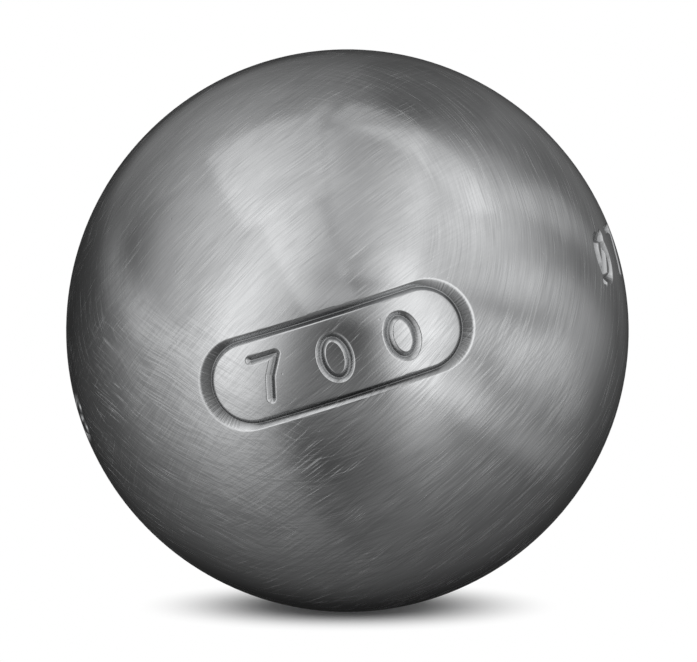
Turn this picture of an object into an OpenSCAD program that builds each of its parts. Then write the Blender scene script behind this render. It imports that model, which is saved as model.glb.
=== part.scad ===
// A hollow steel throwing ball: half shells butted together at a V-groove weld,
// machined flush outside, with a framed plate for the weight figures sunk into
// the front shell. All sizes are in millimetres, the origin is the ball's centre
// and the ball lies on the ground with +Z up, its plate facing -Y.

/* [Ball] */
// Outside diameter of the ball
ball_d = 73; // [70.5:0.5:80]
// Wall thickness of the half shells
wall_t = 6.35; // [5:0.05:8]

/* [Weld seam] */
// Gap between the root faces of the half shells
root_gap = 1.6; // [0.8:0.1:3]
// Height of the square root face, next to the hollow
root_face_h = 1.5; // [0.8:0.1:2.5]
// Slope of each weld flank, in degrees from the seam plane
flank_angle = 30; // [20:1:40]
// Width of the root bead inside the hollow
root_bead_w = 4; // [3:0.5:7]
// Height of the root bead inside the hollow
root_bead_h = 0.8; // [0.3:0.1:1.5]
// Where the seam crosses the marking line, in degrees left of the plate
seam_turn = 55; // [50:1:65]

/* [Marking] */
// Slope of the marking line, rising to the right of the plate, in degrees
marking_tilt = 17.5; // [0:0.5:45]
// Turn of the plate along the marking line, in degrees right of straight ahead
plate_turn = -2.5; // [-5:0.5:5]
// Length of the plate's frame, measured over the ball's surface
plate_l = 37; // [30:0.5:40]
// Width of the plate's frame, measured over the ball's surface
plate_w = 12; // [10:0.5:15]
// Width of the frame's groove along the sides
groove_side_w = 1.2; // [1:0.1:1.8]
// Width of the frame's groove at the ends
groove_end_w = 2.1; // [1.2:0.1:3]
// Depth of the groove below the ball's surface
groove_depth = 0.5; // [0.3:0.05:0.8]
// Run of the groove's sloping walls, from the ball's surface to the groove's floor
groove_wall_run = 0.35; // [0.1:0.05:0.45]

/* [Hidden] */
// How far a cutter passes beyond the surface that it cuts
overrun = 1;
// Facets of a full turn
$fn = 180;

ball_r = ball_d / 2;
hollow_r = ball_r - wall_t;
flank_start_r = hollow_r + root_face_h;
floor_r = ball_r - groove_depth;
cutter_top_r = ball_r + overrun;

// The inner outline of the groove, which is the edge of the raised plate
inner_w = plate_w - 2 * groove_side_w;
inner_l = plate_l - 2 * groove_end_w;

// Degrees of arc that a length covers on the ball's surface
function arc_degrees(length) = length / ball_r * 180 / PI;

// The marking line is the equator of this frame, with the front at -Y
module marking_frame() {
    rotate([0, -marking_tilt, 0])
        children();
}

// The seam is the equator of this frame, and the front half shell lies above it
module seam_frame() {
    marking_frame()
        rotate([90, 0, 90 - seam_turn])
            children();
}

// Keeps the part of a drawing that rotate_extrude turns
module right_half() {
    intersection() {
        children();
        translate([0, -cutter_top_r])
            square([cutter_top_r, 2 * cutter_top_r]);
    }
}

// Section of the opening between the half shells: a gap between square root
// faces, which widens to the outside between the weld flanks
module weld_groove_section() {
    mouth_r = cutter_top_r;
    mouth_half_w = root_gap / 2 + (mouth_r - flank_start_r) * tan(flank_angle);
    polygon([
        [0, -root_gap / 2],
        [flank_start_r, -root_gap / 2],
        [mouth_r, -mouth_half_w],
        [mouth_r, mouth_half_w],
        [flank_start_r, root_gap / 2],
        [0, root_gap / 2]
    ]);
}

// Ring-shaped section of the ball's wall
module wall_section() {
    difference() {
        circle(r = ball_r);
        circle(r = hollow_r);
    }
}

// Half shell above the seam plane, with its rim prepared for the weld
module half_shell() {
    rotate_extrude()
        right_half()
            intersection() {
                difference() {
                    wall_section();
                    weld_groove_section();
                }
                translate([0, root_gap / 2])
                    square([cutter_top_r, cutter_top_r]);
            }
}

// Section of the bead's root, a low crown that stands inside the hollow
module root_bead_section() {
    edge_x = sqrt(pow(hollow_r, 2) - pow(root_bead_w / 2, 2));
    crown_x = hollow_r - root_bead_h;
    rise = edge_x - crown_x;
    crown_r = (pow(root_bead_w / 2, 2) + pow(rise, 2)) / (2 * rise);
    intersection() {
        circle(r = hollow_r);
        translate([crown_x + crown_r, 0])
            circle(r = crown_r);
    }
}

// Stretch of a drafted plate along the marking line, as a section that is turned
// about the marking axis and, at each end, about the ball's radius there.
// slope_run is how much wider each side gets from the groove's floor to the
// surface, and is negative where the plate is wider at the floor.
module plate_block(length, width, slope_run) {
    half_angle = arc_degrees(width / 2);
    floor_angle = arc_degrees(width / 2 - slope_run);
    end_turn = arc_degrees((length - width) / 2);

    surface_point = ball_r * [sin(half_angle), cos(half_angle)];
    floor_point = floor_r * [sin(floor_angle), cos(floor_angle)];
    wall = surface_point - floor_point;
    top_point = floor_point + wall * (cutter_top_r - floor_point.y) / wall.y;
    foot_point = floor_point - wall * overrun / wall.y;

    // Long sides, which run along circles of latitude
    rotate([0, 0, -90 - end_turn])
        rotate_extrude(angle = 2 * end_turn)
            polygon([
                [foot_point.y, -foot_point.x],
                [top_point.y, -top_point.x],
                [top_point.y, top_point.x],
                [foot_point.y, foot_point.x]
            ]);

    // Round ends, which turn about the ball's radius
    for (side = [-1, 1])
        rotate([0, 0, side * end_turn])
            rotate([90, 0, 0])
                rotate_extrude()
                    polygon([
                        [0, foot_point.y],
                        foot_point,
                        top_point,
                        [0, top_point.y]
                    ]);
}

// The groove that frames the plate, down to its floor
module frame_groove() {
    marking_frame()
        rotate([0, 0, plate_turn])
            difference() {
                plate_block(plate_l, plate_w, groove_wall_run);
                plate_block(inner_l, inner_w, -groove_wall_run);
                sphere(r = floor_r);
            }
}

module front_half_shell() {
    color("silver")
        difference() {
            seam_frame()
                half_shell();
            frame_groove();
        }
}

module rear_half_shell() {
    color("darkgray")
        seam_frame()
            mirror([0, 0, 1])
                half_shell();
}

module weld_bead() {
    color("gray")
        seam_frame()
            rotate_extrude()
                right_half()
                    union() {
                        intersection() {
                            wall_section();
                            weld_groove_section();
                        }
                        root_bead_section();
                    }
}

front_half_shell();
rear_half_shell();
weld_bead();
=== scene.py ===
# A steel petanque boule on a white sweep: two half shells, the weld that joins them and
# the marks pressed into them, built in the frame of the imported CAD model.
import math

import bmesh
import bpy
import numpy as np
from mathutils import Matrix, Vector


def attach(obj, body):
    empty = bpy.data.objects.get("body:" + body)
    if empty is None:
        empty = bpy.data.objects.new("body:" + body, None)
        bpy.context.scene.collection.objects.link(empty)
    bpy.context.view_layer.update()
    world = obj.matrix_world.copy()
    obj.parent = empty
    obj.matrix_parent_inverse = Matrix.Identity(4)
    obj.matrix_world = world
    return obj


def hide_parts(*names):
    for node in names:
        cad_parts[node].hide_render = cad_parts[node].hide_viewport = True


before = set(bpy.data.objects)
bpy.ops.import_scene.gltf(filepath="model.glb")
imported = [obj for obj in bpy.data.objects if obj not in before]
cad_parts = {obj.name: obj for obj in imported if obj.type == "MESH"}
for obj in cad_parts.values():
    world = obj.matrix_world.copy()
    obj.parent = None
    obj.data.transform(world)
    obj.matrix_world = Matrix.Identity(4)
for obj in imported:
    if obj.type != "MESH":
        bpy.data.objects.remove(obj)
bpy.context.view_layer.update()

mm = 0.001  # the scene is in metres and the sizes below are in millimetres

ball = {
    "radius": 36.5,
    "wall": 6.35,
    "markTilt": 17.5,  # slope of the marking line, in degrees, rising to the right
    "seamTurn": 55.0,  # where the seam crosses that line, in degrees left of the front
}
ballRadius = ball["radius"]
hollowRadius = ballRadius - ball["wall"]

# The marking line is the equator of this frame, and the front of the ball is its -Y
markFrame = Matrix.Rotation(math.radians(-ball["markTilt"]), 3, "Y")
# The seam is the equator of this frame, and the front half shell lies above it
seamFrame = (
    markFrame
    @ Matrix.Rotation(math.radians(90 - ball["seamTurn"]), 3, "Z")
    @ Matrix.Rotation(math.radians(90), 3, "X")
)


def smoothStep(value):
    value = np.clip(value, 0, 1)
    return value * value * (3 - 2 * value)


def softMin(first, second, blend):
    # The lower of two slopes, rounded off where they meet
    overlap = np.maximum(blend - np.abs(first - second), 0) / blend
    return np.minimum(first, second) - overlap * overlap * blend / 4


def pressedShape(rise, rounding):
    # Depth share of a mark whose wall rises from 0 at its edge to 1 at its bottom
    bottom = softMin(rise, 1 + rounding / 4, rounding)
    return -softMin(-bottom, 0, edgeRounding)


# Marks

plate = {
    "turn": -2.5,  # degrees right of the front, along the marking line
    "length": 37.0,
    "width": 12.0,
    "sideGroove": 1.2,
    "endGroove": 2.1,
    "depth": 0.6,
    "innerWallRun": 0.56,  # the outer wall takes the rest of the groove's width
}
# Plain figures for the ball's weight in grams and, after a diameter sign that is written d
# here, for its diameter in millimetres
figureGroups = [
    {"text": "700", "turn": -2.5, "height": 5.3, "pitch": 8.8, "stroke": 1.2, "depth": 0.5},
    {"text": "d73", "turn": 81.8, "height": 5.6, "pitch": 7.3, "stroke": 1.4, "depth": 0.7},
    {"text": "d73", "turn": -91.5, "height": 5.6, "pitch": 7.3, "stroke": 1.4, "depth": 0.7},
]
figureWidth = 0.66  # of the figure's height, between the middles of the strokes
strokeFloorShare = 0.04  # of the stroke's half width that is flat
# How far the edges and bottoms of the marks are rounded, in shares of their depth
edgeRounding = 0.12
valleyRounding = 0.25
grooveRounding = 0.1
strokeRounding = 0.3
# The bright band on the marks' edges is wear and a painted highlight of their rounded rims
wornAndHighlightWidth = 0.08  # how far a mark's edges are rubbed bright
# Painted shade in the groove, along the foot of its inner wall: its middle and half width, measured
# out from the plate's edge
grooveShadeLine = {"middle": 0.30, "width": 0.34, "top": 4.0, "fade": 2.0}
# Where the cutter's chatter shows: from a little before the groove's round ends, between its
# edge and the foot of its inner wall
chatterPlace = {"before": 1.0, "run": 4.0, "edgeRun": 0.3, "foot": 0.2, "footRun": 0.3}
leastRun = 0.1  # of the groove's outer slope
groupMargin = 2.0  # how far round a group of figures its marks are looked for


def arcPoints(middle, radii, start, end, steps=24):
    turns = np.radians(np.linspace(start, end, steps + 1))
    return np.array(middle) + np.stack([np.cos(turns), np.sin(turns)], 1) * np.array(radii)


# Strokes of each figure, in shares of its height, about its own middle
halfWidth = figureWidth / 2
figureShapes = {
    "0": [arcPoints((0, 0), (halfWidth, 0.5), 0, 360, 40)],
    "d": [
        arcPoints((0, 0), (halfWidth, 0.5), 0, 360, 40),
        np.array([(-halfWidth, -0.5), (halfWidth, 0.5)]),
    ],
    "3": [
        arcPoints((0, 0.25), (halfWidth * 0.88, 0.25), 160, -90),
        arcPoints((0, -0.25), (halfWidth, 0.25), 90, -160),
    ],
    "7": [np.array([(-halfWidth, 0.5), (halfWidth, 0.5), (0.05, 0.02), (-0.1, -0.5)])],
}


def figureStrokes(group):
    strokes = []
    for place, figure in enumerate(group["text"]):
        shift = (place - (len(group["text"]) - 1) / 2) * group["pitch"]
        for shape in figureShapes[figure]:
            strokes.append(shape * group["height"] + np.array([shift, 0]))
    return strokes


def lineCoordinates(directions, turn):
    # Millimetres along the marking line, from a place turned right of the front, and across it
    local = directions @ np.array(markFrame)
    along = np.arctan2(local[:, 0], -local[:, 1]) - math.radians(turn)
    across = np.arcsin(np.clip(local[:, 2], -1, 1))
    return along * ballRadius, across * ballRadius


def stadiumDistance(along, across, length, width):
    # Distance over the surface to a stadium's outline, below zero inside it
    reach = np.maximum(np.abs(along) - (length - width) / 2, 0)
    cosine = np.cos(reach / ballRadius) * np.cos(across / ballRadius)
    return np.arccos(np.clip(cosine, -1, 1)) * ballRadius - width / 2


def plateOutlines(along, across):
    outside = stadiumDistance(along, across, plate["length"], plate["width"])
    innerLength = plate["length"] - 2 * plate["endGroove"]
    innerWidth = plate["width"] - 2 * plate["sideGroove"]
    inside = stadiumDistance(along, across, innerLength, innerWidth)
    return outside, inside


def strokeDistance(along, across, strokes):
    nearest = np.full(len(along), np.inf)
    points = np.stack([along, across], 1)
    for stroke in strokes:
        for start, end in zip(stroke[:-1], stroke[1:]):
            span = end - start
            share = np.clip((points - start) @ span / (span @ span), 0, 1)
            gap = points - start - share[:, None] * span
            nearest = np.minimum(nearest, np.hypot(gap[:, 0], gap[:, 1]))
    return nearest


strokesOf = [figureStrokes(group) for group in figureGroups]


def nearGroup(along, across, group):
    reach = len(group["text"]) * group["pitch"] / 2 + group["height"] / 2
    return (np.abs(along) < reach) & (np.abs(across) < group["height"] / 2 + groupMargin)


def markDepth(directions):
    # How far each mark sinks below the ball's surface there, in millimetres
    along, across = lineCoordinates(directions, plate["turn"])
    outside, inside = plateOutlines(along, across)
    # A long outer slope and a short inner wall, which meet at the bottom
    outerRun = np.maximum(inside - outside - plate["innerWallRun"], leastRun)
    walls = softMin(-outside / outerRun, inside / plate["innerWallRun"], valleyRounding)
    depth = plate["depth"] * pressedShape(walls, grooveRounding)
    for group, strokes in zip(figureGroups, strokesOf):
        along, across = lineCoordinates(directions, group["turn"])
        near = nearGroup(along, across, group)
        if near.any():
            distance = strokeDistance(along[near], across[near], strokes)
            half = group["stroke"] / 2
            wall = (half - distance) / (half * (1 - strokeFloorShare))
            depth[near] += group["depth"] * pressedShape(wall, strokeRounding)
    return depth


def markDistance(directions):
    # Distance to the nearest wall of a mark, which says how fine the mesh has to be
    along, across = lineCoordinates(directions, plate["turn"])
    outside, inside = plateOutlines(along, across)
    nearest = np.maximum(np.maximum(outside, -inside), 0)
    for group, strokes in zip(figureGroups, strokesOf):
        along, across = lineCoordinates(directions, group["turn"])
        near = nearGroup(along, across, group)
        if near.any():
            distance = strokeDistance(along[near], across[near], strokes)
            nearest[near] = np.minimum(nearest[near], np.maximum(distance - group["stroke"] / 2, 0))
    return nearest


def edgeWearAndHighlight(directions):
    # Nears 1 on the edges of the marks, which handling rubs bright and where a highlight is painted
    along, across = lineCoordinates(directions, plate["turn"])
    outside, inside = plateOutlines(along, across)
    nearest = np.minimum(np.abs(outside), np.abs(inside))
    for group, strokes in zip(figureGroups, strokesOf):
        along, across = lineCoordinates(directions, group["turn"])
        near = nearGroup(along, across, group)
        if near.any():
            edge = np.abs(strokeDistance(along[near], across[near], strokes) - group["stroke"] / 2)
            nearest[near] = np.minimum(nearest[near], edge)
    return np.exp(-((nearest / wornAndHighlightWidth) ** 2))


def grooveShadeShare(directions):
    # Nears 1 on the groove's inner wall, at its ends and along its lower side, where shade is painted
    along, across = lineCoordinates(directions, plate["turn"])
    _, inside = plateOutlines(along, across)
    grooveShade = np.exp(-(((inside - grooveShadeLine["middle"]) / grooveShadeLine["width"]) ** 2))
    return grooveShade * smoothStep((grooveShadeLine["top"] - across) / grooveShadeLine["fade"])


def cutterMarks(directions):
    # At the round ends of the groove: a place on a circle that follows the end, and how much
    # the cutter's chatter shows there
    along, across = lineCoordinates(directions, plate["turn"])
    outside, inside = plateOutlines(along, across)
    straight = (plate["length"] - plate["width"]) / 2
    turn = np.arctan2(across, np.abs(along) - straight)
    beyond = np.abs(along) - straight + chatterPlace["before"]
    share = smoothStep(beyond / chatterPlace["run"])
    share *= smoothStep(-outside / chatterPlace["edgeRun"])
    share *= smoothStep((inside - chatterPlace["foot"]) / chatterPlace["footRun"])
    circle = plate["width"] / 2
    return np.stack([np.cos(turn) * circle, np.sin(turn) * circle, share], 1)


def surfaceNormals(directions, depth):
    # The normals of the marked surface, from the slope of the marks
    step = 0.02
    helper = np.where(np.abs(directions[:, 2:]) < 0.9, [[0.0, 0.0, 1.0]], [[1.0, 0.0, 0.0]])
    first = np.cross(directions, helper)
    first /= np.linalg.norm(first, axis=1, keepdims=True)
    second = np.cross(directions, first)
    normals = directions.copy()
    for side in (first, second):
        beside = directions + side * (step / ballRadius)
        beside /= np.linalg.norm(beside, axis=1, keepdims=True)
        slope = (markDepth(beside) - depth) / step
        normals += side * slope[:, None]
    return normals / np.linalg.norm(normals, axis=1, keepdims=True)


# Weld seam

seam = {
    "rootGap": 1.6,
    "rootFace": 1.5,
    "flankSlope": 30.0,  # degrees from the seam plane
    "rootBeadWidth": 4.0,
    "rootBeadHeight": 0.8,
}
rootHalf = seam["rootGap"] / 2
flankFoot = hollowRadius + seam["rootFace"]
flankRise = math.tan(math.radians(seam["flankSlope"]))
# Where the flank's line, height = flankFootHeight + flankRise * radius, meets the ball
flankFootHeight = rootHalf - flankRise * flankFoot
rimRadius = (
    math.sqrt((1 + flankRise**2) * ballRadius**2 - flankFootHeight**2)
    - flankRise * flankFootHeight
) / (1 + flankRise**2)
rimHeight = flankFootHeight + flankRise * rimRadius
rootRadius = math.sqrt(hollowRadius**2 - rootHalf**2)

# Brushing: the belt ran in circles about this axis, and the UV map follows them. The axis
# goes through a corner of the mesh, where the map's pole does no harm.
plateFrame = markFrame @ Matrix.Rotation(math.radians(plate["turn"]), 3, "Z")
gridCells = 44  # quads along a quarter turn, before the mesh is refined at the marks
wantedAxis = plateFrame.transposed() @ Vector((-0.26, -0.88, 0.39))
gridPlace = [
    round(math.atan(part / -wantedAxis.y) * 2 / math.pi * gridCells) / gridCells
    for part in (wantedAxis.x, wantedAxis.z)
]
brushAxis = (
    plateFrame
    @ Vector((math.tan(gridPlace[0] * math.pi / 2), -1, math.tan(gridPlace[1] * math.pi / 2)))
).normalized()
brushSide = brushAxis.cross(Vector((0, 0, 1))).normalized()
brushUp = brushSide.cross(brushAxis)
outerMapShare = 0.82  # of the UV map's width, for the outside
innerMap = {"start": 0.84, "height": 0.12, "wall": 0.03}  # the same, for what lies inside
nearPole = 1e-4
bakeMap = "OFBake"  # name of the UV map that follows the brushing


def brushCoordinates(direction, middle):
    # Turn away from the brushing axis and round it, as shares of the whole
    away = math.acos(max(-1.0, min(1.0, direction.dot(brushAxis)))) / math.pi
    around = math.atan2(direction.dot(brushUp), direction.dot(brushSide)) / (2 * math.pi)
    if middle is not None and abs(around - middle) > 0.5:
        around += 1 if around < middle else -1
    return away, around


def mapOutside(bm):
    layer = bm.loops.layers.uv.new(bakeMap)
    inverse = seamFrame.transposed()
    for face in bm.faces:
        outer = face.material_index == 0
        middle = face.calc_center_median().normalized()
        _, middleTurn = brushCoordinates(middle, None)
        seamMiddle = inverse @ middle
        seamTurn = math.atan2(seamMiddle.y, seamMiddle.x) / (2 * math.pi)
        for loop in face.loops:
            direction = loop.vert.co.normalized()
            if outer:
                away, around = brushCoordinates(direction, middleTurn)
                if away < nearPole or away > 1 - nearPole:
                    around = middleTurn
                loop[layer].uv = (away * outerMapShare, around + 0.5)
            else:
                local = inverse @ direction
                turn = math.atan2(local.y, local.x) / (2 * math.pi)
                if abs(turn - seamTurn) > 0.5:
                    turn += 1 if turn < seamTurn else -1
                if math.hypot(local.x, local.y) < nearPole:
                    turn = seamTurn
                height = math.asin(max(-1.0, min(1.0, local.z))) / math.pi + 0.5
                rise = abs(loop.vert.co.length - hollowRadius) / ball["wall"]
                place = innerMap["start"] + innerMap["height"] * height + innerMap["wall"] * rise
                loop[layer].uv = (place, turn + 0.5)


def faceRank(face):
    # A whole number of its own for each face, from the numbers of its corners
    first, second, third = sorted(vertex.index for vertex in face.verts)[:3]
    return (first * 2**17 + second) * 2**17 + third


def finishPiece(bm, name, replaced, materials):
    # Makes the object in metres, with exact normals and mark attributes on its outside
    bmesh.ops.triangulate(bm, faces=[face for face in bm.faces if len(face.verts) > 4])
    bmesh.ops.recalc_face_normals(bm, faces=bm.faces)
    bm.verts.index_update()
    bm.faces.sort(key=faceRank)  # an extrusion leaves them in another order each run
    mapOutside(bm)
    bmesh.ops.scale(bm, vec=(mm, mm, mm), verts=bm.verts)
    mesh = bpy.data.meshes.new(name)
    bm.to_mesh(mesh)
    bm.free()
    for material in materials:
        mesh.materials.append(material)
    mesh.polygons.foreach_set("use_smooth", [True] * len(mesh.polygons))

    places = np.empty(len(mesh.vertices) * 3)
    mesh.vertices.foreach_get("co", places)
    places = places.reshape(-1, 3)
    directions = places / np.linalg.norm(places, axis=1, keepdims=True)
    outerFaces = np.empty(len(mesh.polygons), dtype=np.int32)
    mesh.polygons.foreach_get("material_index", outerFaces)
    sizes = np.empty(len(mesh.polygons), dtype=np.int32)
    mesh.polygons.foreach_get("loop_total", sizes)
    vertexOf = np.empty(len(mesh.loops), dtype=np.int32)
    mesh.loops.foreach_get("vertex_index", vertexOf)
    outerLoops = np.repeat(outerFaces == 0, sizes)
    outerVertices = np.zeros(len(mesh.vertices), dtype=bool)
    outerVertices[vertexOf[outerLoops]] = True

    depth = np.zeros(len(mesh.vertices))
    depth[outerVertices] = markDepth(directions[outerVertices])
    normals = np.zeros((len(mesh.vertices), 3))
    normals[outerVertices] = surfaceNormals(directions[outerVertices], depth[outerVertices])
    loopNormals = np.zeros((len(mesh.loops), 3))
    loopNormals[outerLoops] = normals[vertexOf[outerLoops]]
    mesh.normals_split_custom_set(loopNormals.tolist())

    marked = directions[outerVertices]
    shares = {
        "pressed": np.clip(depth[outerVertices] / plate["depth"], 0, 1),
        "wornAndHighlight": edgeWearAndHighlight(marked),
        "grooveShade": grooveShadeShare(marked),
    }
    for attributeName, share in shares.items():
        values = np.zeros(len(mesh.vertices))
        values[outerVertices] = share
        attribute = mesh.attributes.new(attributeName, "FLOAT", "POINT")
        attribute.data.foreach_set("value", values)
    chatter = np.zeros((len(mesh.vertices), 3))
    chatter[outerVertices] = cutterMarks(marked)
    cutter = mesh.attributes.new("cutter", "FLOAT_VECTOR", "POINT")
    cutter.data.foreach_set("vector", chatter.ravel())

    piece = bpy.data.objects.new(name, mesh)
    bpy.context.scene.collection.objects.link(piece)
    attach(piece, "root")
    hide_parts(*replaced)
    print(name, len(mesh.polygons), "faces", sum(sizes - 2), "triangles")


# Half shells

shell = {
    "refineReach": (2.2, 1.2, 0.5, 0.1),  # distance from a mark at which each pass stops
    "hollowRings": 22,
}


def refineAtMarks(bm):
    for reach in shell["refineReach"]:
        faces = list(bm.faces)
        middles = np.array([face.calc_center_median().normalized() for face in faces])
        near = markDistance(middles) < reach
        edges = {edge for face, take in zip(faces, near) if take for edge in face.edges}
        bmesh.ops.subdivide_edges(bm, edges=list(edges), cuts=1, use_grid_fill=True)
        for vertex in bm.verts:
            vertex.co = vertex.co.normalized() * ballRadius


def sinkMarks(bm):
    directions = np.array([vertex.co.normalized() for vertex in bm.verts])
    for vertex, direction, depth in zip(bm.verts, directions, markDepth(directions)):
        vertex.co = Vector(direction) * (ballRadius - depth)


def ringOf(bm):
    return [edge for edge in bm.edges if edge.is_boundary]


def extrudeRing(bm, ring, fromRadius, toRadius, rise):
    # Extrudes a ring about the seam's axis and returns the new ring
    made = bmesh.ops.extrude_edge_only(bm, edges=ring)["geom"]
    vertices = [item for item in made if isinstance(item, bmesh.types.BMVert)]
    edges = [item for item in made if isinstance(item, bmesh.types.BMEdge)]
    faces = [item for item in made if isinstance(item, bmesh.types.BMFace)]
    narrow = toRadius / fromRadius
    bmesh.ops.scale(bm, vec=(narrow, narrow, 1), verts=vertices)
    bmesh.ops.translate(bm, vec=(0, 0, rise), verts=vertices)
    for face in faces:
        face.material_index = 1
    return edges, vertices


def halfShell(side):
    bm = bmesh.new()
    bmesh.ops.create_cube(bm, size=2)
    bmesh.ops.subdivide_edges(bm, edges=bm.edges, cuts=gridCells - 1, use_grid_fill=True)
    # An even grid on the ball, lined up with the plate
    for vertex in bm.verts:
        even = Vector([math.tan(part * math.pi / 4) for part in vertex.co])
        vertex.co = plateFrame @ even.normalized() * ballRadius
    axis = seamFrame @ Vector((0, 0, side))
    bmesh.ops.bisect_plane(
        bm,
        geom=bm.verts[:] + bm.edges[:] + bm.faces[:],
        dist=1e-4,
        plane_co=axis * rimHeight,
        plane_no=axis,
        clear_inner=True,
    )
    refineAtMarks(bm)
    sinkMarks(bm)

    # The rim, the faces of the weld groove and the hollow, ring by ring about the seam's axis
    bmesh.ops.transform(bm, matrix=seamFrame.transposed().to_4x4(), verts=bm.verts)
    ring = ringOf(bm)
    for vertex in {vertex for edge in ring for vertex in edge.verts}:
        across = Vector((vertex.co.x, vertex.co.y, 0)).normalized() * rimRadius
        vertex.co = (across.x, across.y, side * rimHeight)
    radius, height = rimRadius, rimHeight
    steps = [(flankFoot, rootHalf), (rootRadius, rootHalf)]
    rootTurn = math.asin(rootHalf / hollowRadius)
    for turn in np.linspace(rootTurn, math.pi / 2, shell["hollowRings"] + 1)[1:]:
        steps.append((hollowRadius * math.cos(turn), hollowRadius * math.sin(turn)))
    for place, (nextRadius, nextHeight) in enumerate(steps):
        if place < 3:
            for edge in ring:
                edge.smooth = False
        ring, vertices = extrudeRing(bm, ring, radius, nextRadius, side * (nextHeight - height))
        radius, height = nextRadius, nextHeight
    bmesh.ops.pointmerge(bm, verts=vertices, merge_co=(0, 0, side * hollowRadius))
    bmesh.ops.transform(bm, matrix=seamFrame.to_4x4(), verts=bm.verts)
    return bm


# Weld bead

weld = {
    "steps": 300,  # round the seam
    "outsidePoints": 9,  # across the bead
    "crownPoints": 13,
    "ripple": 0.09,  # height of the ripples that each drop of the weld pool leaves inside
    "ripplePitch": 2.4,
    "rippleSweep": 0.02,  # how much a ripple lags at the bead's sides
}


def weldBead():
    edgeRadius = math.sqrt(hollowRadius**2 - (seam["rootBeadWidth"] / 2) ** 2)
    crownRadius = hollowRadius - seam["rootBeadHeight"]
    beadHalf = seam["rootBeadWidth"] / 2
    rimTurn = math.asin(rimHeight / ballRadius)
    outside = [
        (ballRadius * math.cos(turn), 0, ballRadius * math.sin(turn))
        for turn in np.linspace(-rimTurn, rimTurn, weld["outsidePoints"])
    ]
    crownRise = crownRadius - edgeRadius
    crown = [
        (edgeRadius + crownRise * math.cos(share * math.pi / 2), 0, share * beadHalf)
        for share in np.linspace(1, -1, weld["crownPoints"])
    ]
    section = (
        outside
        + [(flankFoot, 0, rootHalf), (rootRadius, 0, rootHalf)]
        + crown
        + [(rootRadius, 0, -rootHalf), (flankFoot, 0, -rootHalf)]
    )
    bm = bmesh.new()
    vertices = [bm.verts.new(point) for point in section]
    edges = [bm.edges.new(pair) for pair in zip(vertices, vertices[1:] + vertices[:1])]
    bmesh.ops.spin(
        bm,
        geom=vertices + edges,
        axis=(0, 0, 1),
        cent=(0, 0, 0),
        angle=2 * math.pi,
        steps=weld["steps"],
        use_merge=True,
    )
    bmesh.ops.remove_doubles(bm, verts=bm.verts, dist=1e-5)
    for face in bm.faces:
        middle = face.calc_center_median()
        face.material_index = 0 if middle.length > ballRadius - 0.2 else 1
    for edge in bm.edges:
        kinds = {face.material_index for face in edge.link_faces}
        edge.smooth = len(kinds) == 1
    # Ripples along the root, which was never machined
    ripples = weld["ripplePitch"] / hollowRadius
    for vertex in bm.verts:
        across = math.hypot(vertex.co.x, vertex.co.y)
        if across < edgeRadius - 0.05:
            turn = math.atan2(vertex.co.y, vertex.co.x) + weld["rippleSweep"] * vertex.co.z**2
            fall = weld["ripple"] * abs(math.sin(turn / ripples * math.pi))
            vertex.co.x *= 1 + fall / across
            vertex.co.y *= 1 + fall / across
    bmesh.ops.transform(bm, matrix=seamFrame.to_4x4(), verts=bm.verts)
    return bm


# Materials


def linearColour(code):
    parts = [int(code[place : place + 2], 16) / 255 for place in (1, 3, 5)]
    return tuple(
        [part / 12.92 if part <= 0.04045 else ((part + 0.055) / 1.055) ** 2.4 for part in parts]
    ) + (1.0,)


def newMaterial(name):
    material = bpy.data.materials.new(name)
    material.use_nodes = True
    material.node_tree.nodes.clear()
    return material, material.node_tree


def addNode(tree, kind, inputs=None, **settings):
    # Adds a node, sets it and links or fills its inputs
    node = tree.nodes.new(kind)
    for setting, value in settings.items():
        setattr(node, setting, value)
    for socket, value in (inputs or {}).items():
        if isinstance(value, bpy.types.NodeSocket):
            tree.links.new(value, node.inputs[socket])
        else:
            node.inputs[socket].default_value = value
    return node


# Scratches run in circles about each axis, fitted to the photograph's scratches. Sizes are in
# millimetres; real ones are a tenth as wide, and these as coarse as the picture can show.
brushings = [
    {  # the main belt, in wide circles round the front of the ball
        "axis": (-0.27, -0.86, 0.43),
        "spacing": 0.15,
        "streak": 6.0,
        "middle": (0.27, 0.86, -0.43),
        "fade": (128, 164),  # degrees from the middle where the brushing thins out
        "patches": (0.36, 0.54),
        "least": 0.5,
        "strength": 1.1,
    },
    {  # short passes low on the left, falling to the right
        "axis": (0.40, -0.21, 0.89),
        "spacing": 0.14,
        "streak": 4.5,
        "middle": (-0.62, -0.68, -0.40),
        "fade": (20, 38),
        "patches": (0.36, 0.54),
        "least": 0.5,
        "strength": 1.7,
    },
    {  # straight passes over the upper left, rising to the right
        "axis": (-0.65, 0.35, 0.68),
        "spacing": 0.14,
        "streak": 4.0,
        "middle": (-0.75, -0.40, 0.53),
        "fade": (45, 92),
        "patches": (0.36, 0.54),
        "least": 0.5,
        "strength": 0.9,
    },
    {  # passes over the lower side, which cross the main belt's
        "axis": (-0.66, -0.22, 0.72),
        "spacing": 0.15,
        "streak": 5.5,
        "middle": (0.30, -0.75, -0.59),
        "fade": (30, 54),
        "patches": (0.38, 0.54),
        "least": 0.4,
        "strength": 1.8,
    },
]
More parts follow.
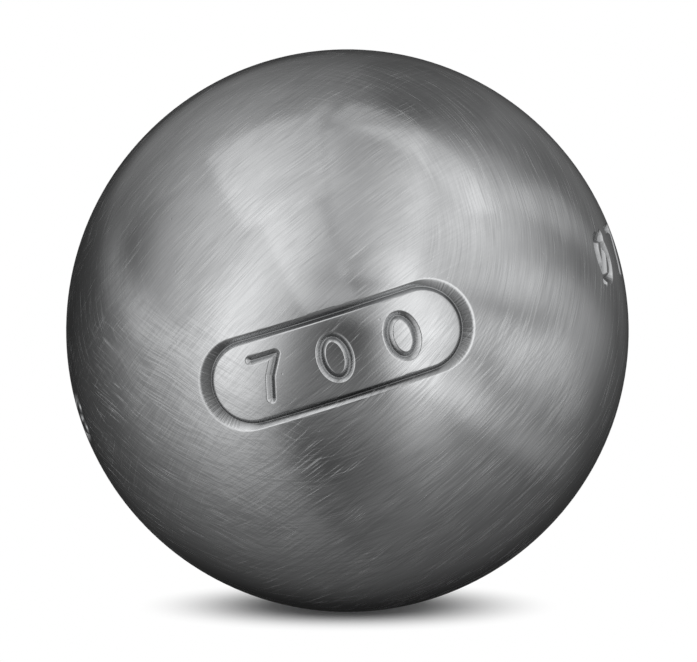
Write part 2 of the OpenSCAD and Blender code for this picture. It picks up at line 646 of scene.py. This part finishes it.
steelLook = {
    "bright": "#cfd0d1",
    "dull": "#b2b3b4",
    # Colour mixed in with the depth of the marks, as painted shade in the recesses
    "pressed": "#8e8f90",
    # Colour of the marks' edges: wear, and a painted highlight of their rounded rims
    "wornAndHighlight": "#cccdce",
    # Painted shade along the foot of the groove's inner wall
    "grooveShade": "#3c3c3c",
    "wornAndHighlightShare": 0.25,
    # How strongly the painted shade in the groove is mixed in
    "grooveShadeShare": 0.72,
    "grainTone": 2.6,  # how strongly the brushing shows as bright and dull
    "cloudSize": 9.0,
    "toneRange": (0.2, 0.8),  # tones between which the roughness changes
    "smooth": 0.12,  # roughness of the best brushed places and of the worst
    "rough": 0.17,
    "pressedRough": 0.08,  # how much rougher the marks are
    "grainHeight": 0.0042,
    "hairStart": 0.59,  # level of the scratch noise where a deeper scratch begins
    "hairFull": 0.73,
    "hairDepth": 0.0028,
    "hairRough": 0.26,  # how much rougher the bottom of a deeper scratch is
    "anisotropy": 0.3,
    "wobble": 0.7,  # how far the belt strayed, in millimetres
    "wobbleSize": 11.0,
    "patchSize": 7.5,
    "beltEnd": (0.1, 0.5),  # share of a mark's depth at which the belt stops reaching
    "beltLeft": 0.25,
    "chatterSize": 0.3,
    "chatterHeight": 0.025,
    "pitSpacing": 3.2,
    "pitDepth": 0.012,
    "pitEdge": (0.02, 0.06),  # of the spacing
    "speckleSize": 0.22,
    "speckleHeight": 0.003,
}


def noiseScale(size):
    # One feature of a noise texture is about as wide as one over its scale, in metres
    return 1 / (size * mm)


def brushedSteel():
    # Brushed carbon steel: ground round and finished on a fine belt, so it mirrors its
    # surroundings as soft smears across the grain, with hairline scratches along it
    material, tree = newMaterial("brushedCarbonSteel")
    place = addNode(tree, "ShaderNodeTexCoord").outputs["Object"]
    drift = addNode(
        tree,
        "ShaderNodeTexNoise",
        {"Vector": place, "Scale": noiseScale(steelLook["wobbleSize"]), "Detail": 1.0},
    )
    strayed = addNode(
        tree,
        "ShaderNodeVectorMath",
        {0: drift.outputs["Color"], 1: (2 * steelLook["wobble"] * mm,) * 3, 2: place},
        operation="MULTIPLY_ADD",
    )
    direction = addNode(
        tree, "ShaderNodeVectorMath", {0: strayed.outputs[0]}, operation="NORMALIZE"
    )
    patchwork = addNode(
        tree,
        "ShaderNodeTexNoise",
        {"Vector": place, "Scale": noiseScale(steelLook["patchSize"]), "Detail": 1.0},
    )
    patches = addNode(tree, "ShaderNodeSeparateColor", {0: patchwork.outputs["Color"]})
    covers = [*patches.outputs, patchwork.outputs[0]]

    grain = 0.0  # the brushing, from about -0.3 to 0.3
    hairs = 0.0  # deeper single scratches, from 0 to 1
    for number, brushing in enumerate(brushings):
        facing = addNode(
            tree,
            "ShaderNodeVectorMath",
            {0: direction.outputs[0], 1: Vector(brushing["axis"]).normalized()},
            operation="DOT_PRODUCT",
        )
        turn = addNode(tree, "ShaderNodeMath", {0: facing.outputs["Value"]}, operation="ARCCOSINE")
        # The texture's fourth coordinate counts the lines; its scale multiplies that too
        lines = addNode(
            tree,
            "ShaderNodeMath",
            {0: turn.outputs[0], 1: ballRadius * brushing["streak"] * mm / brushing["spacing"]},
            operation="MULTIPLY",
        )
        scratches = addNode(
            tree,
            "ShaderNodeTexNoise",
            {
                "Vector": place,
                "W": lines.outputs[0],
                "Scale": noiseScale(brushing["streak"]),
                "Detail": 1.0,
                "Roughness": 0.6,
            },
            noise_dimensions="4D",
        ).outputs[0]
        cover = addNode(
            tree,
            "ShaderNodeMapRange",
            {
                "Value": covers[number],
                "From Min": brushing["patches"][0],
                "From Max": brushing["patches"][1],
                "To Min": brushing["least"],
                "To Max": 1.0,
            },
            interpolation_type="SMOOTHSTEP",
        )
        middle = addNode(
            tree,
            "ShaderNodeVectorMath",
            {0: direction.outputs[0], 1: Vector(brushing["middle"]).normalized()},
            operation="DOT_PRODUCT",
        )
        reach = addNode(
            tree,
            "ShaderNodeMapRange",
            {
                "Value": middle.outputs["Value"],
                "From Min": math.cos(math.radians(brushing["fade"][1])),
                "From Max": math.cos(math.radians(brushing["fade"][0])),
            },
            interpolation_type="SMOOTHSTEP",
        )
        share = addNode(
            tree, "ShaderNodeMath", {0: cover.outputs[0], 1: reach.outputs[0]}, operation="MULTIPLY"
        )
        share = addNode(
            tree,
            "ShaderNodeMath",
            {0: share.outputs[0], 1: brushing["strength"]},
            operation="MULTIPLY",
        )
        centred = addNode(tree, "ShaderNodeMath", {0: scratches, 1: 0.5}, operation="SUBTRACT")
        grain = addNode(
            tree,
            "ShaderNodeMath",
            {0: centred.outputs[0], 1: share.outputs[0], 2: grain},
            operation="MULTIPLY_ADD",
        ).outputs[0]
        hair = addNode(
            tree,
            "ShaderNodeMapRange",
            {
                "Value": scratches,
                "From Min": steelLook["hairStart"],
                "From Max": steelLook["hairFull"],
            },
            interpolation_type="SMOOTHSTEP",
        )
        hairs = addNode(
            tree,
            "ShaderNodeMath",
            {0: hair.outputs[0], 1: share.outputs[0], 2: hairs},
            operation="MULTIPLY_ADD",
        ).outputs[0]
    grained = addNode(
        tree, "ShaderNodeMath", {0: grain, 1: steelLook["grainHeight"]}, operation="MULTIPLY"
    )
    brushedHeight = addNode(
        tree,
        "ShaderNodeMath",
        {0: hairs, 1: -steelLook["hairDepth"], 2: grained.outputs[0]},
        operation="MULTIPLY_ADD",
    )
    # The belt hardly reaches into the marks
    pressed = addNode(tree, "ShaderNodeAttribute", attribute_name="pressed").outputs["Fac"]
    reached = addNode(
        tree,
        "ShaderNodeMapRange",
        {
            "Value": pressed,
            "From Min": steelLook["beltEnd"][0],
            "From Max": steelLook["beltEnd"][1],
            "To Min": 1.0,
            "To Max": steelLook["beltLeft"],
        },
    )
    scratched = addNode(
        tree,
        "ShaderNodeMath",
        {0: brushedHeight.outputs[0], 1: reached.outputs[0]},
        operation="MULTIPLY",
    )

    # Chatter that the cutter left at the round ends of the groove
    cutter = addNode(tree, "ShaderNodeAttribute", attribute_name="cutter")
    cut = addNode(tree, "ShaderNodeSeparateXYZ", {0: cutter.outputs["Vector"]})
    around = addNode(tree, "ShaderNodeCombineXYZ", {0: cut.outputs[0], 1: cut.outputs[1]})
    chatter = addNode(
        tree,
        "ShaderNodeTexNoise",
        {"Vector": around.outputs[0], "Scale": 1 / steelLook["chatterSize"], "Detail": 1.0},
    )
    ridges = addNode(
        tree, "ShaderNodeMath", {0: chatter.outputs[0], 1: cut.outputs[2]}, operation="MULTIPLY"
    )
    chattered = addNode(
        tree,
        "ShaderNodeMath",
        {0: ridges.outputs[0], 1: steelLook["chatterHeight"], 2: scratched.outputs[0]},
        operation="MULTIPLY_ADD",
    )

    # Fine pits, and the grain of the metal
    pits = addNode(
        tree,
        "ShaderNodeTexVoronoi",
        {"Vector": place, "Scale": noiseScale(steelLook["pitSpacing"])},
    )
    pitted = addNode(
        tree,
        "ShaderNodeMapRange",
        {
            "Value": pits.outputs["Distance"],
            "From Min": steelLook["pitEdge"][0],
            "From Max": steelLook["pitEdge"][1],
            "To Min": -steelLook["pitDepth"],
            "To Max": 0.0,
        },
        interpolation_type="SMOOTHSTEP",
    )
    speckle = addNode(
        tree,
        "ShaderNodeTexNoise",
        {"Vector": place, "Scale": noiseScale(steelLook["speckleSize"]), "Detail": 1.0},
    )
    speckled = addNode(
        tree,
        "ShaderNodeMath",
        {0: speckle.outputs[0], 1: steelLook["speckleHeight"], 2: pitted.outputs[0]},
        operation="MULTIPLY_ADD",
    )
    height = addNode(
        tree,
        "ShaderNodeMath",
        {0: speckled.outputs[0], 1: reached.outputs[0], 2: chattered.outputs[0]},
        operation="MULTIPLY_ADD",
    )

    # Colour: uneven from the belt, with painted shade that deepens with the marks' depth, brighter on
    # their edges from wear and a painted highlight, and painted shade in the groove
    wornAndHighlight = addNode(tree, "ShaderNodeAttribute", attribute_name="wornAndHighlight").outputs["Fac"]
    cloud = addNode(
        tree,
        "ShaderNodeTexNoise",
        {
            "Vector": place,
            "Scale": noiseScale(steelLook["cloudSize"]),
            "Detail": 4.0,
            "Roughness": 0.6,
        },
    ).outputs[0]
    brushed = addNode(
        tree,
        "ShaderNodeMath",
        {0: grain, 1: steelLook["grainTone"], 2: cloud},
        operation="MULTIPLY_ADD",
        use_clamp=True,
    )
    tone = addNode(
        tree,
        "ShaderNodeMix",
        {
            0: brushed.outputs[0],
            6: linearColour(steelLook["dull"]),
            7: linearColour(steelLook["bright"]),
        },
        data_type="RGBA",
    )
    # Painted shade in the marks, darker the deeper they are pressed
    depthShaded = addNode(
        tree,
        "ShaderNodeMix",
        {0: pressed, 6: tone.outputs[2], 7: linearColour(steelLook["pressed"])},
        data_type="RGBA",
    )
    # Edges of the marks brightened: wear, and a painted highlight of their rounded rims
    rubbedAndHighlighted = addNode(
        tree, "ShaderNodeMath", {0: wornAndHighlight, 1: steelLook["wornAndHighlightShare"]}, operation="MULTIPLY"
    )
    polishedAndHighlighted = addNode(
        tree,
        "ShaderNodeMix",
        {0: rubbedAndHighlighted.outputs[0], 6: depthShaded.outputs[2], 7: linearColour(steelLook["wornAndHighlight"])},
        data_type="RGBA",
    )
    # Painted shade in the groove, at its ends and along its lower side
    grooveShade = addNode(tree, "ShaderNodeAttribute", attribute_name="grooveShade").outputs["Fac"]
    grooveShaded = addNode(
        tree, "ShaderNodeMath", {0: grooveShade, 1: steelLook["grooveShadeShare"]}, operation="MULTIPLY"
    )
    colour = addNode(
        tree,
        "ShaderNodeMix",
        {0: grooveShaded.outputs[0], 6: polishedAndHighlighted.outputs[2], 7: linearColour(steelLook["grooveShade"])},
        data_type="RGBA",
    )
    dullness = addNode(
        tree,
        "ShaderNodeMapRange",
        {
            "Value": brushed.outputs[0],
            "From Min": steelLook["toneRange"][1],
            "From Max": steelLook["toneRange"][0],
            "To Min": steelLook["smooth"],
            "To Max": steelLook["rough"],
        },
    )
    scuffed = addNode(
        tree,
        "ShaderNodeMath",
        {0: hairs, 1: steelLook["hairRough"], 2: dullness.outputs[0]},
        operation="MULTIPLY_ADD",
    )
    roughness = addNode(
        tree,
        "ShaderNodeMath",
        {0: pressed, 1: steelLook["pressedRough"], 2: scuffed.outputs[0]},
        operation="MULTIPLY_ADD",
    )
    bump = addNode(
        tree, "ShaderNodeBump", {"Height": height.outputs[0], "Strength": 1.0, "Distance": mm}
    )
    tangent = addNode(tree, "ShaderNodeTangent", direction_type="UV_MAP", uv_map=bakeMap)
    surface = addNode(
        tree,
        "ShaderNodeBsdfPrincipled",
        {
            "Base Color": colour.outputs[2],
            "Metallic": 1.0,
            "Roughness": roughness.outputs[0],
            "Anisotropic": steelLook["anisotropy"],
            "Normal": bump.outputs[0],
            "Tangent": tangent.outputs[0],
        },
    )
    addNode(tree, "ShaderNodeOutputMaterial", {"Surface": surface.outputs[0]})
    return material


scaleLook = {
    "dark": "#2c2f33",
    "shell": "#4a4d52",
    "weld": "#5d5a55",
    "grainSize": 1.6,
    "grainHeight": 0.05,
    "metallic": 0.6,
    "rough": 0.6,
}


def scaledSteel(name, colour):
    # Mill scale: the blue grey oxide that hot pressing and welding leave, dull and grainy
    material, tree = newMaterial(name)
    place = addNode(tree, "ShaderNodeTexCoord").outputs["Object"]
    grain = addNode(
        tree,
        "ShaderNodeTexNoise",
        {"Vector": place, "Scale": noiseScale(scaleLook["grainSize"]), "Detail": 6.0},
    )
    tone = addNode(
        tree,
        "ShaderNodeMix",
        {0: grain.outputs[0], 6: linearColour(scaleLook["dark"]), 7: linearColour(colour)},
        data_type="RGBA",
    )
    bump = addNode(
        tree,
        "ShaderNodeBump",
        {
            "Height": grain.outputs[0],
            "Strength": 1.0,
            "Distance": scaleLook["grainHeight"] * mm,
        },
    )
    surface = addNode(
        tree,
        "ShaderNodeBsdfPrincipled",
        {
            "Base Color": tone.outputs[2],
            "Metallic": scaleLook["metallic"],
            "Roughness": scaleLook["rough"],
            "Normal": bump.outputs[0],
        },
    )
    addNode(tree, "ShaderNodeOutputMaterial", {"Surface": surface.outputs[0]})
    return material


outsideSteel = brushedSteel()
shellScale = scaledSteel("pressedPlateScale", scaleLook["shell"])
weldScale = scaledSteel("weldScale", scaleLook["weld"])
print("materials made")

shellMaterials = [outsideSteel, shellScale]
finishPiece(halfShell(1), "frontHalfShell", ["front_half_shell"], shellMaterials)
finishPiece(halfShell(-1), "rearHalfShell", ["rear_half_shell"], shellMaterials)
finishPiece(weldBead(), "weldBead", ["weld_bead"], [outsideSteel, weldScale])
print("ball made")

# Set: white paper in a soft light tent, with softboxes and the camera

paper = {
    "size": 12000.0,
    "colour": "#f4f4f4",
    "shadowStart": 9.0,  # distance from the shadow's middle where the paper starts to whiten
    "shadowEnd": 28.0,
    "shadowBack": 4.5,  # how far behind the contact point the shadow's middle lies
    "contactSize": 45.0,  # where the steel mirrors the ball's own shadow on the paper
    "contactLevel": 0.4,
}
# The tent's wall as the steel mirrors it: a low level that leans to one side, and lit or
# shaded places. Turn is degrees right of the camera's side and rise degrees above the floor;
# wide and high are shares of the distance to the wall, a level of 1 is white, and edge is
# the share of the way in from the rim where a place fades. All but the last three places,
# and the softboxes, were fitted to the photograph's brightness by least squares.
tentBase = {"level": 0.039, "lean": (-0.136, -0.075, -0.114), "least": 0.04, "darkest": 0.02}
tentGlows = [
    {"turn": -56, "rise": -6, "roll": 5, "wide": 0.56, "high": 2.49, "level": 0.26, "edge": 0.86},
    {"turn": 71, "rise": -29, "roll": 77, "wide": 0.16, "high": 1.41, "level": 0.32, "edge": 1.0},
    {"turn": 67, "rise": -10, "roll": -5, "wide": 1.28, "high": 0.38, "level": 0.39, "edge": 0.59},
    {"turn": 105, "rise": 30, "roll": 4, "wide": 2.13, "high": 1.29, "level": 0.25, "edge": 0.72},
    {"turn": -98, "rise": 62, "roll": 15, "wide": 2.23, "high": 0.93, "level": 0.52, "edge": 0.96},
    {"turn": -65, "rise": 12, "roll": 0, "wide": 1.4, "high": 2.5, "level": 0.51, "edge": 0.99},
    {"turn": 37, "rise": -38, "roll": 76, "wide": 0.73, "high": 1.45, "level": 0.38, "edge": 1.0},
    {"turn": 148, "rise": -70, "roll": 41, "wide": 0.92, "high": 2.43, "level": 0.17, "edge": 0.99},
    {"turn": 60, "rise": 41, "roll": 99, "wide": 0.85, "high": 1.29, "level": 0.99, "edge": 1.0},
    {"turn": 34, "rise": 9, "roll": -15, "wide": 1.15, "high": 0.21, "level": 0.34, "edge": 0.55},
    {"turn": 83, "rise": -8, "roll": 2, "wide": 0.52, "high": 0.23, "level": 0.31, "edge": 0.71},
    {"turn": 91, "rise": 11, "roll": -18, "wide": 0.97, "high": 0.23, "level": 0.42, "edge": 0.98},
    {"turn": -40, "rise": 10, "roll": -18, "wide": 0.55, "high": 1.04, "level": 0.88, "edge": 1.0},
    {"turn": 29, "rise": 0, "roll": 11, "wide": 0.45, "high": 0.93, "level": 1.2, "edge": 1.0},
    {"turn": 101, "rise": 42, "roll": 0, "wide": 0.48, "high": 0.4, "level": -0.09, "edge": 0.28},
    {"turn": -1, "rise": -45, "roll": -43, "wide": 0.71, "high": 0.45, "level": -0.18, "edge": 1.0},
    {"turn": -107, "rise": 17, "roll": -77, "wide": 0.49, "high": 0.31, "level": -0.15, "edge": 0.82},
    {"turn": -97, "rise": 5, "roll": -107, "wide": 0.19, "high": 0.92, "level": 0.31, "edge": 0.99},
    {"turn": 143, "rise": 22, "roll": -51, "wide": 0.38, "high": 0.24, "level": -0.06, "edge": 1.0},
    {"turn": 119, "rise": 26, "roll": -40, "wide": 0.57, "high": 0.17, "level": 0.27, "edge": 0.87},
    {"turn": -1, "rise": -51, "roll": -56, "wide": 1.4, "high": 0.19, "level": 0.05, "edge": 1.0},
    {"turn": 53, "rise": -20, "roll": 16, "wide": 0.18, "high": 0.35, "level": 0.29, "edge": 0.71},
    {"turn": -24, "rise": -68, "roll": 6, "wide": 0.14, "high": 0.91, "level": -0.07, "edge": 0.99},
    {"turn": 113, "rise": -23, "roll": 10, "wide": 0.36, "high": 0.17, "level": 0.08, "edge": 0.72},
    {"turn": 157, "rise": 47, "roll": -60, "wide": 0.5, "high": 0.22, "level": -0.05, "edge": 0.14},
    {"turn": -173, "rise": 71, "roll": -17, "wide": 0.25, "high": 0.5, "level": 0.03, "edge": 0.75},
    {"turn": -159, "rise": 21, "roll": -12, "wide": 0.45, "high": 0.21, "level": 0.09, "edge": 0.77},
    {"turn": 143, "rise": 1, "roll": 14, "wide": 0.15, "high": 0.3, "level": -0.05, "edge": 0.85},
    {"turn": -31, "rise": 76, "roll": 30, "wide": 0.11, "high": 0.62, "level": 0.18, "edge": 1.0},
    {"turn": -158, "rise": 73, "roll": -23, "wide": 0.11, "high": 0.17, "level": 0.24, "edge": 1.0},
    {"turn": -14, "rise": 53, "roll": 21, "wide": 0.09, "high": 0.19, "level": 0.16, "edge": 1.0},
]
# Softboxes, all equally far from the ball; sizes are in millimetres
softboxDistance = 700.0
softboxes = [
    {"turn": -71, "rise": 64, "roll": 70, "width": 413, "height": 574, "level": 0.31},
    {"turn": -18, "rise": 33, "roll": -59, "width": 616, "height": 269, "level": 0.30},
    {"turn": 91, "rise": 67, "roll": -27, "width": 183, "height": 737, "level": 0.30},
    {"turn": 22, "rise": 58, "roll": -15, "width": 435, "height": 974, "level": 0.30},
]


def facing(place):
    # Axes of something that stands off at a turn and rise and faces the ball
    turn, rise = math.radians(place["turn"]), math.radians(place["rise"])
    back = Vector(
        (math.sin(turn) * math.cos(rise), -math.cos(turn) * math.cos(rise), math.sin(rise))
    )
    side = Vector((math.cos(turn), math.sin(turn), 0))
    level = Matrix((side, back.cross(side), back)).transposed()
    return level @ Matrix.Rotation(math.radians(place.get("roll", 0)), 3, "Z")


def makePaper():
    bm = bmesh.new()
    bmesh.ops.create_grid(bm, x_segments=1, y_segments=1, size=paper["size"] / 2 * mm)
    bmesh.ops.translate(bm, vec=(0, 0, -ballRadius * mm), verts=bm.verts)
    mesh = bpy.data.meshes.new("paper")
    bm.to_mesh(mesh)
    bm.free()
    floor = bpy.data.objects.new("paper", mesh)
    bpy.context.scene.collection.objects.link(floor)

    # White paper that prints as plain white away from the ball's shadow. In the steel it
    # goes on as the tent's wall does, darker where the ball stands on it.
    material, tree = newMaterial("whitePaper")
    place = addNode(tree, "ShaderNodeTexCoord").outputs["Object"]
    flat = addNode(tree, "ShaderNodeVectorMath", {0: place, 1: (1, 1, 0)}, operation="MULTIPLY")
    distance = addNode(
        tree, "ShaderNodeVectorMath", {0: flat.outputs[0]}, operation="LENGTH"
    ).outputs["Value"]
    shadowDistance = addNode(
        tree,
        "ShaderNodeVectorMath",
        {0: flat.outputs[0], 1: (0, paper["shadowBack"] * mm, 0)},
        operation="DISTANCE",
    ).outputs["Value"]
    clear = addNode(
        tree,
        "ShaderNodeMapRange",
        {
            "Value": shadowDistance,
            "From Min": paper["shadowStart"] * mm,
            "From Max": paper["shadowEnd"] * mm,
        },
        interpolation_type="SMOOTHSTEP",
    )
    ray = addNode(tree, "ShaderNodeLightPath")
    printed = addNode(
        tree,
        "ShaderNodeMath",
        {0: clear.outputs[0], 1: ray.outputs["Is Camera Ray"]},
        operation="MULTIPLY",
    )
    sheet = addNode(tree, "ShaderNodeBsdfDiffuse", {"Color": linearColour(paper["colour"])})
    white = addNode(tree, "ShaderNodeEmission")
    seen = addNode(
        tree,
        "ShaderNodeMixShader",
        {0: printed.outputs[0], 1: sheet.outputs[0], 2: white.outputs[0]},
    )
    mirrored = addNode(
        tree,
        "ShaderNodeMath",
        {0: ray.outputs["Is Glossy Ray"], 1: ray.outputs["Is Transmission Ray"]},
        operation="ADD",
        use_clamp=True,
    )
    contact = addNode(
        tree,
        "ShaderNodeMapRange",
        {
            "Value": distance,
            "From Min": 0.0,
            "From Max": paper["contactSize"] * mm,
            "To Min": paper["contactLevel"],
            "To Max": 1.0,
        },
        interpolation_type="SMOOTHSTEP",
    )
    tent = addNode(tree, "ShaderNodeBsdfTransparent", {"Color": contact.outputs[0]})
    mix = addNode(
        tree,
        "ShaderNodeMixShader",
        {0: mirrored.outputs[0], 1: seen.outputs[0], 2: tent.outputs[0]},
    )
    addNode(tree, "ShaderNodeOutputMaterial", {"Surface": mix.outputs[0]})
    mesh.materials.append(material)


def makeTent():
    world = bpy.data.worlds.new("lightTent")
    bpy.context.scene.world = world
    world.use_nodes = True
    tree = world.node_tree
    tree.nodes.clear()
    direction = addNode(tree, "ShaderNodeTexCoord").outputs["Generated"]
    leaning = addNode(
        tree,
        "ShaderNodeVectorMath",
        {0: direction, 1: tentBase["lean"]},
        operation="DOT_PRODUCT",
    )
    based = addNode(
        tree, "ShaderNodeMath", {0: leaning.outputs["Value"], 1: tentBase["level"]}, operation="ADD"
    )
    level = addNode(
        tree, "ShaderNodeMath", {0: based.outputs[0], 1: tentBase["least"]}, operation="MAXIMUM"
    ).outputs[0]
    for glow in tentGlows:
        axes = facing(glow)
        local = addNode(
            tree,
            "ShaderNodeMapping",
            {
                "Vector": direction,
                "Location": axes.col[2],
                "Rotation": axes.to_euler(),
                "Scale": (glow["wide"], glow["high"], 1),
            },
            vector_type="TEXTURE",
        )
        away = addNode(tree, "ShaderNodeVectorMath", {0: local.outputs[0]}, operation="LENGTH")
        lit = addNode(
            tree,
            "ShaderNodeMapRange",
            {
                "Value": away.outputs["Value"],
                "From Min": 1 - glow["edge"],
                "From Max": 1.0,
                "To Min": glow["level"],
                "To Max": 0.0,
            },
            interpolation_type="SMOOTHERSTEP",
        )
        level = addNode(
            tree, "ShaderNodeMath", {0: level, 1: lit.outputs[0]}, operation="ADD"
        ).outputs[0]
    level = addNode(tree, "ShaderNodeMath", {0: level, 1: tentBase["darkest"]}, operation="MAXIMUM")
    # The camera sees the tent as plain white
    ray = addNode(tree, "ShaderNodeLightPath")
    strength = addNode(
        tree,
        "ShaderNodeMix",
        {0: ray.outputs["Is Camera Ray"], 2: level.outputs[0], 3: 1.0},
        data_type="FLOAT",
    )
    room = addNode(tree, "ShaderNodeBackground", {"Strength": strength.outputs[0]})
    addNode(tree, "ShaderNodeOutputWorld", {"Surface": room.outputs[0]})


def makeSoftbox(number, softbox):
    axes = facing(softbox)
    name = "softbox" + str(number + 1)
    lamp = bpy.data.lights.new(name, "AREA")
    lamp.shape = "RECTANGLE"
    lamp.size, lamp.size_y = softbox["width"] * mm, softbox["height"] * mm
    # Level is the brightness of the softbox's face, where 1 is white
    lamp.energy = softbox["level"] * math.pi * lamp.size * lamp.size_y
    holder = bpy.data.objects.new(name, lamp)
    holder.location = axes.col[2] * softboxDistance * mm
    holder.rotation_euler = axes.to_euler()
    bpy.context.scene.collection.objects.link(holder)


view = {
    "rise": 4.5,  # degrees above the horizon
    "distance": 800.0,
    "lens": 318.2,
    "picture": (697, 662),
    "middle": (347.4, 330.6),  # where the ball's centre lies in the picture
}


def makeCamera():
    camera = bpy.data.cameras.new("camera")
    camera.lens = view["lens"]
    camera.sensor_width = 36
    camera.clip_start, camera.clip_end = 0.01, 20
    wide, high = view["picture"]
    camera.shift_x = (wide / 2 - view["middle"][0]) / wide
    camera.shift_y = (view["middle"][1] - high / 2) / wide
    rise = math.radians(view["rise"])
    back = Vector((0, -math.cos(rise), math.sin(rise)))
    holder = bpy.data.objects.new("camera", camera)
    holder.location = back * view["distance"] * mm
    holder.rotation_euler = back.to_track_quat("Z", "Y").to_euler()
    bpy.context.scene.collection.objects.link(holder)
    bpy.context.scene.camera = holder


makePaper()
makeTent()
for number, softbox in enumerate(softboxes):
    makeSoftbox(number, softbox)
makeCamera()
bpy.context.scene.view_settings.view_transform = "Standard"
print("set made")
